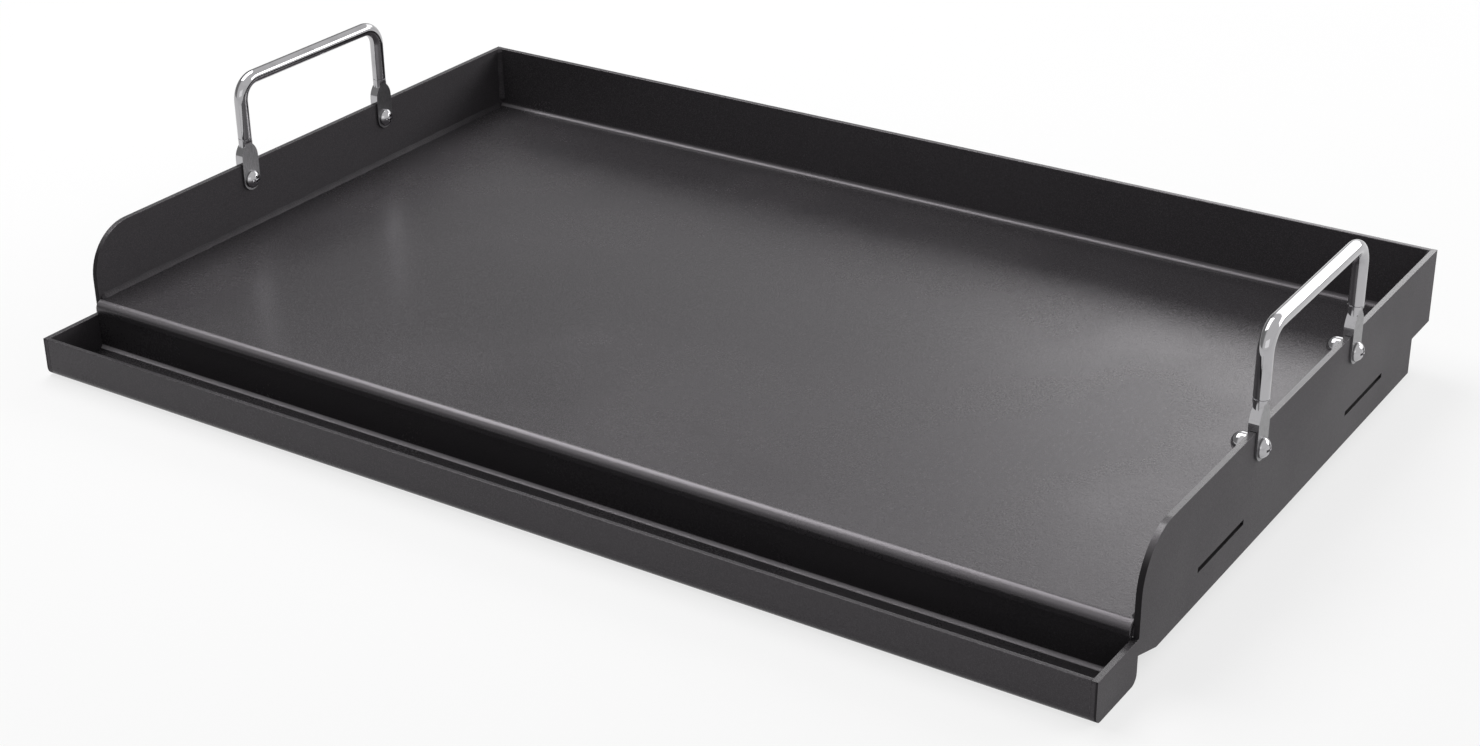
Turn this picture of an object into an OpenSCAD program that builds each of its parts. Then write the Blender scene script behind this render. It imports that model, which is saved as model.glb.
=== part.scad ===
// Camp griddle plate: a bent steel plate with a rear wall and a front lip, welded side panels, a grease
// trough along the front, bracing below and two removable rod handles on forked feet.
// Millimetres. The origin is on the underside of the trough, at the middle of the width over the handle
// screws and their nuts and of the pan's depth. +X is to the right, -Y is the trough's side and +Z is up.

/* [Pan] */
// Width over the outside of the side panels
pan_w = 635; // [500:1:760]
// Depth from the front of the trough to the back of the rear wall
pan_d = 406.4; // [360:0.2:500]
// Height of the rim above the underside of the trough
rim_h = 70; // [64:0.5:90]
// Height of the cooking surface above the underside of the trough
plate_h = 31; // [30:0.5:36]
// Thickness of the plate and of the side panels
sheet_t = 3; // [2:0.1:4]
// Radius of the round top corner at the front of a side panel
panel_corner_r = 28; // [5:0.5:30]
// Inside radius of the bend between the plate and the rear wall
rear_bend_r = 3; // [1:0.5:8]

/* [Front lip] */
// Inside radius of the bend between the plate and the lip
lip_bend_r = 2; // [1:0.1:3]
// Straight height of the lip below its bend
lip_drop = 2; // [1:0.1:3]
// How far the lip stands in front of the trough's rear wall
lip_overhang = 0.9; // [0.5:0.1:1.8]

/* [Grease trough] */
// Depth of the trough over both walls
trough_d = 40.4; // [32:0.2:60]
// Height of the trough's front wall
trough_h = 22.4; // [16:0.2:24]
// Thickness of the trough's sheet
trough_t = 2.6; // [1.5:0.1:3]
// Inside radius of the trough's bends
trough_bend_r = 2.2; // [1:0.1:4]

/* [Skirt] */
// Height of the skirt's lower edge above the underside of the trough
skirt_lift = 7.7; // [4:0.1:10]
// Height of the slant's upper end above the skirt's lower edge
slant_h = 6; // [2:0.1:8]
// Length of the slant at the front of the skirt
slant_l = 19.6; // [10:0.2:30]
// Length of the step at the rear of the skirt
rear_step_l = 26.4; // [10:0.2:40]

/* [Vent slots] */
// Length of a vent slot
slot_l = 52; // [20:1:70]
// Height of a vent slot
slot_h = 2.8; // [1.5:0.1:4]
// Distance from the plate's underside down to the middle of a slot
slot_drop = 2.4; // [2.1:0.1:5]
// Distance between the middles of the two slots of a panel
slot_spacing = 181; // [120:1:200]
// Distance of the pair's middle behind the middle of the pan
slot_offset = 15; // [-10:0.5:30]

/* [Cross braces] */
// Thickness of the flat bars
brace_t = 3; // [2:0.1:5]
// Height of the flat bars
brace_h = 16; // [10:0.5:18]
// Distance between the two long braces
long_brace_spacing = 102; // [60:1:120]
// Distance from one cross brace to the next
cross_brace_spacing = 160; // [80:1:220]
// Clearance around a bar in the notch of another
lap_gap = 0.1; // [0.05:0.05:0.3]
// Distance from the ends of a cross brace to the trough and to the skirt's rear end
brace_inset = 6; // [2:0.5:20]

/* [Weld seams] */
// Leg length of the fillet seams
weld_leg = 2.4; // [1:0.1:3]

/* [Handles] */
// Diameter of the handle rod
rod_d = 8; // [6:0.1:9]
// Distance between the two legs of a handle
leg_spacing = 120; // [90:1:160]
// Height of the grip's middle above the rim
grip_rise = 49.4; // [42:0.2:70]
// Radius of the rod's bends at the middle of the rod
grip_bend_r = 12; // [10:0.5:20]
// Distance of the handle's middle behind the middle of the pan
handle_offset = 23; // [0:0.5:40]
// Diameter of the rod's spigot in the fork
spigot_d = 3.6; // [2.5:0.1:4]
// Length of the rod's spigot
spigot_l = 6; // [3:0.5:8]
// Clearance around the spigot
spigot_gap = 0.05; // [0.02:0.01:0.1]

/* [Handle forks] */
// Width of a fork along the rim
fork_w = 13; // [11:0.5:16]
// Thickness of a fork across the rim
fork_t = 5.4; // [5:0.1:7.6]
// Radius of the pointed arch at the fork's top
fork_arch_r = 10.8; // [8:0.2:14]
// Height of the arch's foot above the rim
fork_arch_rise = 3; // [1:0.5:5]
// Height of the fork's round neck above the rim
neck_rise = 15; // [14:0.5:20]
// Height above the rim at which the flats on the neck end
flat_rise = 12; // [9:0.5:13]
// Radius of the run-out at the top of the flats
flat_runout_r = 2; // [1:0.5:3]
// Clearance between a fork's ear and the side panel
rim_gap = 0.1; // [0.05:0.05:0.3]
// Clearance between the rim and the bottom of the fork's slot
seat_gap = 0.2; // [0.1:0.1:0.5]

/* [Screws and cap nuts] */
// Distance of the screw axes below the rim
screw_drop = 10.3; // [8:0.1:14]
// Diameter of the screw's thread
screw_d = 5; // [4:0.1:6]
// Clearance around the screw in its holes
screw_gap = 0.08; // [0.04:0.02:0.1]
// Length of the thread inside the nut
thread_l = 5.6; // [3.2:0.8:5.6]
// Clearance between the thread and the nut's bore
thread_gap = 0.05; // [0.02:0.01:0.1]
// Depth left in the nut past the screw's end
bore_spare = 0.6; // [0.2:0.1:0.8]
// Diameter of the screw's head
head_d = 10.4; // [8.5:0.1:11]
// Height of the screw's head
head_h = 4; // [3:0.1:4.5]
// Height of the straight edge of the head
head_edge = 0.9; // [0.4:0.1:1.2]
// Length of the arms of the cross recess, tip to tip
recess_l = 5.4; // [3:0.1:6]
// Width of the arms of the cross recess
recess_w = 1.1; // [0.8:0.1:1.5]
// Depth of the cross recess
recess_depth = 1.7; // [1:0.1:2]
// Diameter of the cap nut
nut_d = 10.8; // [9:0.1:12]
// Height of the cap nut
nut_h = 10; // [8.6:0.1:12]
// Height of the straight part of the cap nut
nut_edge = 4.6; // [3.2:0.1:5]

/* [Hidden] */
$fn = 64;

// Sides of the pan and ends of a handle
LEFT = -1;
RIGHT = 1;
FRONT = -1;
REAR = 1;

// How far a cutting shape runs past the face that it cuts
past = 1;

// Main planes of the pan
inner_w = pan_w - 2 * sheet_t;
front_y = -pan_d / 2;
rear_y = pan_d / 2;
trough_rear_y = front_y + trough_d;
plate_under = plate_h - sheet_t;
lip_foot = plate_under - lip_bend_r - lip_drop;
lip_y = trough_rear_y - trough_t - lip_overhang;
lip_bend_y = lip_y + sheet_t + lip_bend_r;
rear_bend_y = rear_y - sheet_t - rear_bend_r;
skirt_rear_y = rear_y - rear_step_l;
trough_corner_r = trough_bend_r + trough_t;

// Handle places
panel_mid_x = pan_w / 2 - sheet_t / 2;
screw_z = rim_h - screw_drop;
neck_top = rim_h + neck_rise;
flat_top = rim_h + flat_rise;
grip_z = rim_h + grip_rise;
hole_d = screw_d + 2 * screw_gap;

// Place of the pan's middle: a nut stands out further on the left than a screw head on the right.
pan_x = (nut_h - head_h) / 2;

// Colours of the finishes
coat = "#2b2b2d";
coat_under = "#232325";
bright = "#d6d8da";

function handle_y(end) = handle_offset + end * leg_spacing / 2;
function slot_y(end) = slot_offset + end * slot_spacing / 2;
function brace_y(end) = slot_offset + end * long_brace_spacing / 2;
function dome_r(d, h) = (d * d / 4 + h * h) / (2 * h);

// Moves a piece from the pan's own middle to its place.
module in_place() {
    translate([pan_x, 0, 0])
        children();
}

// Turns a drawing in the Y-Z plane into a solid of width w, centred on X = 0.
module across(w) {
    rotate([90, 0, 90])
        translate([0, 0, -w / 2])
            linear_extrude(w)
                children();
}

// Quarter ring of a bend, in the quadrant given by the signs of a and b.
module bend(r, t, a, b) {
    intersection() {
        difference() {
            circle(r + t);
            circle(r);
        }
        scale_to_quadrant(a, b)
            square(r + t);
    }
}

// Mirrors a drawing from the first quadrant to another one.
module scale_to_quadrant(a, b) {
    mirror([a < 0 ? 1 : 0, 0])
        mirror([0, b < 0 ? 1 : 0])
            children();
}

// What is left outside a round corner of radius r, in the quadrant given by the signs of a and b.
module corner_waste(r, a, b) {
    scale_to_quadrant(a, b)
        difference() {
            square(r + past);
            circle(r);
        }
}

// Puts a right-hand piece on the given side of the pan.
module on_side(side) {
    mirror([side == LEFT ? 1 : 0, 0, 0])
        children();
}

// Cooking surface, rear wall and front lip, bent from one sheet.
module cooking_plate() {
    color(coat)
        across(inner_w) {
            translate([lip_y, lip_foot])
                square([sheet_t, lip_drop]);
            translate([lip_bend_y, plate_under - lip_bend_r])
                bend(lip_bend_r, sheet_t, -1, 1);
            translate([lip_bend_y, plate_under])
                square([rear_bend_y - lip_bend_y, sheet_t]);
            translate([rear_bend_y, plate_h + rear_bend_r])
                bend(rear_bend_r, sheet_t, 1, -1);
            translate([rear_y - sheet_t, plate_h + rear_bend_r])
                square([sheet_t, rim_h - plate_h - rear_bend_r]);
        }
}

// Outline of a side panel with square corners, from the trough's front top corner downwards.
function panel_points() = [
    [front_y, trough_h],
    [front_y, 0],
    [trough_rear_y, 0],
    [trough_rear_y, skirt_lift + slant_h],
    [trough_rear_y + slant_l, skirt_lift],
    [skirt_rear_y, skirt_lift],
    [skirt_rear_y, plate_under],
    [rear_y, plate_under],
    [rear_y, rim_h],
    [trough_rear_y, rim_h],
    [trough_rear_y, trough_h]
];

// Side panel with the trough's end, its round corners, vent slots and screw holes.
module side_panel(side) {
    color(coat)
        on_side(side)
            difference() {
                translate([panel_mid_x, 0, 0])
                    across(sheet_t)
                        difference() {
                            polygon(panel_points());
                            translate([front_y + trough_corner_r, trough_corner_r])
                                corner_waste(trough_corner_r, -1, -1);
                            translate([trough_rear_y - trough_corner_r, trough_corner_r])
                                corner_waste(trough_corner_r, 1, -1);
                            translate([trough_rear_y + panel_corner_r, rim_h - panel_corner_r])
                                corner_waste(panel_corner_r, -1, 1);
                            for (end = [FRONT, REAR])
                                translate([slot_y(end), plate_under - slot_drop])
                                    square([slot_l, slot_h], center = true);
                        }
                for (end = [FRONT, REAR])
                    translate([panel_mid_x, handle_y(end), screw_z])
                        rotate([0, 90, 0])
                            cylinder(h = sheet_t + 2 * past, d = hole_d, center = true);
            }
}

// Grease channel between the side panels, with its rear wall up to the foot of the lip.
module grease_trough() {
    color(coat)
        across(inner_w) {
            translate([front_y, trough_corner_r])
                square([trough_t, trough_h - trough_corner_r]);
            translate([front_y + trough_corner_r, trough_corner_r])
                bend(trough_bend_r, trough_t, -1, -1);
            translate([front_y + trough_corner_r, 0])
                square([trough_d - 2 * trough_corner_r, trough_t]);
            translate([trough_rear_y - trough_corner_r, trough_corner_r])
                bend(trough_bend_r, trough_t, 1, -1);
            translate([trough_rear_y - trough_t, trough_corner_r])
                square([trough_t, lip_foot - trough_corner_r]);
        }
}

// Flat-faced fillet seam in the corner between two faces.
module weld_section() {
    polygon([[0, 0], [weld_leg, 0], [0, weld_leg]]);
}

// Seam between the plate and a side panel, along the plate's flat part.
module plate_weld(side) {
    color(coat)
        on_side(side)
            translate([inner_w / 2, rear_bend_y, plate_h])
                rotate([90, 0, 0])
                    linear_extrude(rear_bend_y - lip_bend_y)
                        mirror([1, 0])
                            weld_section();
}

// Seam between the rear wall and a side panel, above the bend.
module corner_weld(side) {
    color(coat)
        on_side(side)
            translate([inner_w / 2, rear_y - sheet_t, plate_h + rear_bend_r])
                linear_extrude(rim_h - plate_h - rear_bend_r)
                    rotate(180)
                        weld_section();
}

// Flat bar across the pan's width, notched from below for the cross braces.
module long_brace(end) {
    color(coat_under)
        difference() {
            translate([-inner_w / 2, brace_y(end) - brace_t / 2, plate_under - brace_h])
                cube([inner_w, brace_t, brace_h]);
            for (i = [-1:1])
                translate([i * cross_brace_spacing, brace_y(end), plate_under - brace_h])
                    cube([brace_t + 2 * lap_gap, brace_t + 2 * past, brace_h + 2 * lap_gap], center = true);
        }
}

// Flat bar from front to back, notched from above for the long braces.
module cross_brace(place) {
    from_y = trough_rear_y + brace_inset;
    to_y = skirt_rear_y - brace_inset;
    color(coat_under)
        difference() {
            translate([place * cross_brace_spacing - brace_t / 2, from_y, plate_under - brace_h])
                cube([brace_t, to_y - from_y, brace_h]);
            for (end = [FRONT, REAR])
                translate([place * cross_brace_spacing, brace_y(end), plate_under])
                    cube([brace_t + 2 * past, brace_t + 2 * lap_gap, brace_h], center = true);
        }
}

// U-bent handle rod with a spigot at the foot of each leg.
module handle_bar(side) {
    leg_h = grip_z - grip_bend_r - neck_top;
    color(bright)
        on_side(side)
            translate([panel_mid_x, handle_offset, 0]) {
                for (end = [FRONT, REAR])
                    translate([0, end * leg_spacing / 2, 0]) {
                        translate([0, 0, neck_top - spigot_l])
                            cylinder(h = spigot_l, d = spigot_d);
                        translate([0, 0, neck_top])
                            cylinder(h = leg_h, d = rod_d);
                        translate([0, -end * grip_bend_r, grip_z - grip_bend_r])
                            rotate([0, -90, 0])
                                rotate(end == FRONT ? -90 : 0)
                                    rotate_extrude(angle = 90)
                                        translate([grip_bend_r, 0])
                                            circle(d = rod_d);
                    }
                translate([0, -leg_spacing / 2 + grip_bend_r, grip_z])
                    rotate([-90, 0, 0])
                        cylinder(h = leg_spacing - 2 * grip_bend_r, d = rod_d);
            }
}

// Disc that bounds one side of the fork's pointed arch.
module arch_disc(a) {
    translate([a * (fork_arch_r - fork_w / 2), rim_h + fork_arch_rise])
        circle(fork_arch_r);
}

// Outline of a fork in the Y-Z plane: round foot at the screw and a pointed arch above the rim.
module fork_outline() {
    arch_foot = rim_h + fork_arch_rise;
    translate([0, screw_z])
        circle(d = fork_w);
    translate([-fork_w / 2, screw_z])
        square([fork_w, arch_foot - screw_z]);
    intersection() {
        arch_disc(-1);
        arch_disc(1);
        translate([-fork_w / 2, arch_foot])
            square([fork_w, fork_arch_r]);
    }
}

// Round neck of a fork, with flats that run out below the rod.
module fork_neck() {
    neck_foot = rim_h + fork_arch_rise;
    difference() {
        translate([0, 0, neck_foot])
            cylinder(h = neck_top - neck_foot, d = rod_d);
        for (a = [-1, 1]) {
            translate([a * (fork_t / 2 + rod_d / 2), 0, (neck_foot + flat_top) / 2 - past])
                cube([rod_d, rod_d, flat_top - neck_foot + 2 * past], center = true);
            translate([a * (fork_t / 2 + flat_runout_r), 0, flat_top])
                rotate([90, 0, 0])
                    cylinder(h = rod_d, r = flat_runout_r, center = true);
        }
    }
}

// Forked foot of a handle leg: two ears over the rim, a screw hole and a socket for the spigot.
module fork(side, end) {
    color(bright)
        on_side(side)
            translate([panel_mid_x, handle_y(end), 0])
                difference() {
                    union() {
                        across(fork_t)
                            fork_outline();
                        fork_neck();
                    }
                    translate([-sheet_t / 2 - rim_gap, -fork_w, 0])
                        cube([sheet_t + 2 * rim_gap, 2 * fork_w, rim_h + seat_gap]);
                    translate([0, 0, screw_z])
                        rotate([0, 90, 0])
                            cylinder(h = fork_t + 2 * past, d = hole_d, center = true);
                    translate([0, 0, neck_top - spigot_l - spigot_gap])
                        cylinder(h = spigot_l + spigot_gap + past, d = spigot_d + 2 * spigot_gap);
                }
}

// Straight edge with a dome on it, standing on the X-Y plane.
module domed_button(d, h, edge) {
    dome_h = h - edge;
    cylinder(h = edge, d = d);
    translate([0, 0, edge])
        intersection() {
            translate([0, 0, dome_h - dome_r(d, dome_h)])
                sphere(dome_r(d, dome_h));
            cylinder(h = dome_h, d = d);
        }
}

// Screw with a cross recess in its head, put in from the right on both sides.
module handle_screw(side, end) {
    color(bright)
        translate([side * panel_mid_x + fork_t / 2, handle_y(end), screw_z])
            rotate([0, 90, 0]) {
                difference() {
                    domed_button(head_d, head_h, head_edge);
                    for (turn = [0, 90])
                        translate([0, 0, head_h])
                            rotate(turn)
                                cube([recess_l, recess_w, 2 * recess_depth], center = true);
                }
                translate([0, 0, -fork_t - thread_l])
                    cylinder(h = fork_t + thread_l, d = screw_d);
            }
}

// Domed cap nut on the left of the fork, with a blind bore for the screw.
module cap_nut(side, end) {
    color(bright)
        translate([side * panel_mid_x - fork_t / 2, handle_y(end), screw_z])
            rotate([0, -90, 0])
                difference() {
                    domed_button(nut_d, nut_h, nut_edge);
                    translate([0, 0, -past])
                        cylinder(h = thread_l + bore_spare + past, d = screw_d + 2 * thread_gap);
                }
}

in_place() cooking_plate();
in_place() side_panel(LEFT);  // left_side_panel
in_place() side_panel(RIGHT);  // right_side_panel
in_place() grease_trough();
in_place() plate_weld(LEFT);  // left_plate_weld
in_place() plate_weld(RIGHT);  // right_plate_weld
in_place() corner_weld(LEFT);  // left_corner_weld
in_place() corner_weld(RIGHT);  // right_corner_weld
in_place() long_brace(FRONT);  // front_long_brace
in_place() long_brace(REAR);  // rear_long_brace
in_place() cross_brace(LEFT);  // left_cross_brace
in_place() cross_brace(0);  // middle_cross_brace
in_place() cross_brace(RIGHT);  // right_cross_brace
in_place() handle_bar(LEFT);  // left_handle_bar
in_place() handle_bar(RIGHT);  // right_handle_bar
in_place() fork(LEFT, FRONT);  // left_front_fork
in_place() fork(LEFT, REAR);  // left_rear_fork
in_place() fork(RIGHT, FRONT);  // right_front_fork
in_place() fork(RIGHT, REAR);  // right_rear_fork
in_place() handle_screw(LEFT, FRONT);  // left_front_screw
in_place() handle_screw(LEFT, REAR);  // left_rear_screw
in_place() handle_screw(RIGHT, FRONT);  // right_front_screw
in_place() handle_screw(RIGHT, REAR);  // right_rear_screw
in_place() cap_nut(LEFT, FRONT);  // left_front_nut
in_place() cap_nut(LEFT, REAR);  // left_rear_nut
in_place() cap_nut(RIGHT, FRONT);  // right_front_nut
in_place() cap_nut(RIGHT, REAR);  // right_rear_nut
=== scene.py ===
import math

import bmesh
import bpy
from mathutils import Matrix, Vector


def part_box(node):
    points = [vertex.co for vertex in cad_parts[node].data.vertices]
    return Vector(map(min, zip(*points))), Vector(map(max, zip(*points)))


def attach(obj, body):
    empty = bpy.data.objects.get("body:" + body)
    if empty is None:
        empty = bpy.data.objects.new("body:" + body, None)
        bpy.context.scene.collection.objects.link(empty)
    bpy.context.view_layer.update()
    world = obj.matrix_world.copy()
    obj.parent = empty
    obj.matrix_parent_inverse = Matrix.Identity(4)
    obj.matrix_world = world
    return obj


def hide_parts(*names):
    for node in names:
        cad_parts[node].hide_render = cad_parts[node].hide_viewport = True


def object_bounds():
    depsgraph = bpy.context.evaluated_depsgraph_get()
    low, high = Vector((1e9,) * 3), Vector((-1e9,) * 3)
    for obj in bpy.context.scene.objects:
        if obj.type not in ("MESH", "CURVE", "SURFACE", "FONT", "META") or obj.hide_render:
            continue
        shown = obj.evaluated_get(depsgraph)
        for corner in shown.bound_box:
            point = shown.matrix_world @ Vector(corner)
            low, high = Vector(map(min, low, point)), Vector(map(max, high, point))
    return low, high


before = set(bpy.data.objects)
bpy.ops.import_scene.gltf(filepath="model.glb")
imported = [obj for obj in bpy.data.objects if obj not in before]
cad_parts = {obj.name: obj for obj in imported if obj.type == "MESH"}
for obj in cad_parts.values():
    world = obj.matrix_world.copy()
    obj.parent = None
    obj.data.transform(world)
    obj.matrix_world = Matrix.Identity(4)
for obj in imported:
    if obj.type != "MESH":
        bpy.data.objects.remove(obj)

bl_info = {
    "name": "Camp Griddle Plate",
    "version": (1, 0, 0),
    "blender": (4, 5, 0),
    "location": "View3D > Sidebar > Griddle",
    "description": "Dresses the steel griddle plate: coated sheets, seams, bright handles and a studio",
    "category": "Object",
}

BODY = "griddle"
SIDES = ("left", "right")
FEET = ("left_front", "left_rear", "right_front", "right_rear")
MM = 0.001

# Clean-up of the solids' meshes, their rounded edges and their shading
WELD_DISTANCE = 2e-6
COPLANAR = math.radians(0.4)
HARD_EDGE = math.radians(40)
SMOOTH_BELOW = math.radians(32)
FACE_WEIGHT = 60
ROUND_STEPS = 3
EDGE_BAND = "edge_band"

# Coat: swing of its gloss, depth of its peel, tint of its mirror light, onset of the painted highlight on bends and
# duller seams
GLOSS_SWING = 0.07
PEEL_DEPTH = 0.12 * MM
COAT_TINT = (1, 0.93, 1, 1)
BEND_HIGHLIGHT_EASE = 0.35
SEAM_ROUGHER = 0.3

# Side panels: onset of the painted shade on the front-facing cut edges and in the vent slots, in from the outer
# face, below the trough's rear top and around the slots
CORNER_LINE = (1.3 * MM, 0.9 * MM)
TROUGH_DROP = (3.5 * MM, 0.5 * MM)
SLOT_BELOW_TOP = 5.4 * MM
SLOT_REACH = (2.3 * MM, 2.0 * MM)

# Side panels: how much rougher the cut edges are, and the smoother rims with their clear sheen
CUT_ROUGHER = 0.3
RIM_SMOOTHER = 0.36
RIM_SHEEN = 0.5
RIM_SHEEN_ROUGHNESS = 0.15

# Bright parts: depth of the hairlines and of the grinding marks, and gap under a screw's head
HAIRLINE_DEPTH = 0.03 * MM
GRIND_DEPTH = 0.04 * MM
HEAD_OFF = 0.05 * MM

# Short lip seams: how far they reach past the lip's end, behind the trough and below the trough's top
LIP_PAST = 0.45 * MM
LIP_BEHIND = 0.3 * MM
LIP_BELOW = 1.2 * MM

# Stage: the floor, the room as it shows behind the griddle, and the soft boxes as name, size, place and target
FLOOR_DROP = 0.3 * MM
FLOOR_GLOW = 0.75
# Depth inside the griddle's footprint over which the floor's glow fades out, a painted shadow under the griddle
SHADE_EASE = 60 * MM
ROOM_TURN = (-0.69, -0.34)
ROOM_DIM = (0.3, 0.3, 0.3)
ROOM_PALE = (0.92, 0.92, 0.92)
SOFT_BOXES = (
    ("top_box", (1.5, 1.15), (-0.8, 0.2, 1.6), (0, 0, 0)),
    ("back_box", (2.1, 0.9), (0.12, 2.3, 1.15), (0, 0, 0.03)),
    ("side_box", (1.45, 0.8), (1.5, 1.55, 0.82), (0, 0, 0.03)),
    ("front_box", (2.4, 1.2), (1.3, -2.4, 1.0), (0, 0, 0.03)),
)


def corners(box):
    """The two corners of a box as plain lists of numbers."""
    return [[round(v, 6) for v in corner] for corner in box]


bpy.context.view_layer.update()
CAD_BOX = corners(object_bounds())


# Sizes and finishes that a user would change

class GriddleShape(bpy.types.PropertyGroup):
    """Small shapes that the dressed pieces add to the solids."""

    sheet_round: bpy.props.FloatProperty(
        name="Sheet Edge", description="Radius on the cut edges of the coated sheets",
        default=0.4 * MM, min=0.05 * MM, max=1.2 * MM, precision=5, unit="LENGTH")
    bar_round: bpy.props.FloatProperty(
        name="Brace Edge", description="Radius on the edges of the flat-bar braces",
        default=0.35 * MM, min=0.05 * MM, max=1.2 * MM, precision=5, unit="LENGTH")
    fork_round: bpy.props.FloatProperty(
        name="Fork Edge", description="Radius on the edges of the handle forks",
        default=0.3 * MM, min=0.05 * MM, max=0.8 * MM, precision=5, unit="LENGTH")
    rod_d: bpy.props.FloatProperty(
        name="Rod", description="Diameter of the handle rod",
        default=8 * MM, min=5 * MM, max=12 * MM, precision=5, unit="LENGTH")
    rod_bend_r: bpy.props.FloatProperty(
        name="Rod Bend", description="Bend radius at the rod's centre line",
        default=12 * MM, min=8 * MM, max=30 * MM, precision=5, unit="LENGTH")
    rod_foot_z: bpy.props.FloatProperty(
        name="Rod Foot", description="Height at which the rod stands on its forks",
        default=85 * MM, min=70 * MM, max=110 * MM, precision=5, unit="LENGTH")
    seam_bulge: bpy.props.FloatProperty(
        name="Seam Crown", description="How far a seam stands out from a flat fillet",
        default=0.22 * MM, min=0, max=0.8 * MM, precision=5, unit="LENGTH")
    seam_pitch: bpy.props.FloatProperty(
        name="Seam Ripple Pitch", description="Spacing of the ripples along a seam",
        default=1.9 * MM, min=0.8 * MM, max=5 * MM, precision=5, unit="LENGTH")
    seam_ripple: bpy.props.FloatProperty(
        name="Seam Ripple", description="Height of the ripples, softened by the coat",
        default=0.07 * MM, min=0, max=0.4 * MM, precision=5, unit="LENGTH")
    lip_seam_leg: bpy.props.FloatProperty(
        name="Lip Seam Leg", description="Leg of the short seams behind the ends of the lip",
        default=1.8 * MM, min=1.2 * MM, max=2.4 * MM, precision=5, unit="LENGTH")
    lip_seam_drop: bpy.props.FloatProperty(
        name="Lip Seam Drop", description="How far below the plate's top a short lip seam begins",
        default=2.7 * MM, min=2 * MM, max=3 * MM, precision=5, unit="LENGTH")
    screw_d: bpy.props.FloatProperty(
        name="Screw", description="Outer diameter of the screw thread",
        default=5 * MM, min=3 * MM, max=6 * MM, precision=5, unit="LENGTH")
    thread_pitch: bpy.props.FloatProperty(
        name="Thread Pitch", description="Rise of the thread in one turn",
        default=0.8 * MM, min=0.4 * MM, max=1.5 * MM, precision=5, unit="LENGTH")
    thread_depth: bpy.props.FloatProperty(
        name="Thread Depth", description="Depth of the thread's groove",
        default=0.42 * MM, min=0.1 * MM, max=0.8 * MM, precision=5, unit="LENGTH")
    head_h: bpy.props.FloatProperty(
        name="Head Height", description="Height of a screw's domed head",
        default=4 * MM, min=2 * MM, max=6 * MM, precision=5, unit="LENGTH")
    head_edge: bpy.props.FloatProperty(
        name="Head Edge", description="Straight edge under the head's dome",
        default=0.9 * MM, min=0.2 * MM, max=2 * MM, precision=5, unit="LENGTH")
    recess_l: bpy.props.FloatProperty(
        name="Recess Length", description="Length of each arm pair of the cross recess",
        default=5.4 * MM, min=2 * MM, max=8 * MM, precision=5, unit="LENGTH")
    recess_w: bpy.props.FloatProperty(
        name="Recess Width", description="Width of the arms of the cross recess",
        default=1.1 * MM, min=0.5 * MM, max=2 * MM, precision=5, unit="LENGTH")
    recess_depth: bpy.props.FloatProperty(
        name="Recess Depth", description="Depth of the cross recess below the top of the dome",
        default=1.7 * MM, min=0.4 * MM, max=3 * MM, precision=5, unit="LENGTH")
    nut_edge: bpy.props.FloatProperty(
        name="Nut Edge", description="Straight edge under a cap nut's dome",
        default=4.6 * MM, min=1 * MM, max=8 * MM, precision=5, unit="LENGTH")
    bore_d: bpy.props.FloatProperty(
        name="Nut Bore", description="Diameter of a cap nut's blind bore",
        default=5.1 * MM, min=3 * MM, max=8 * MM, precision=5, unit="LENGTH")
    bore_l: bpy.props.FloatProperty(
        name="Bore Depth", description="Depth of a cap nut's blind bore",
        default=6.2 * MM, min=2 * MM, max=9 * MM, precision=5, unit="LENGTH")


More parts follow.
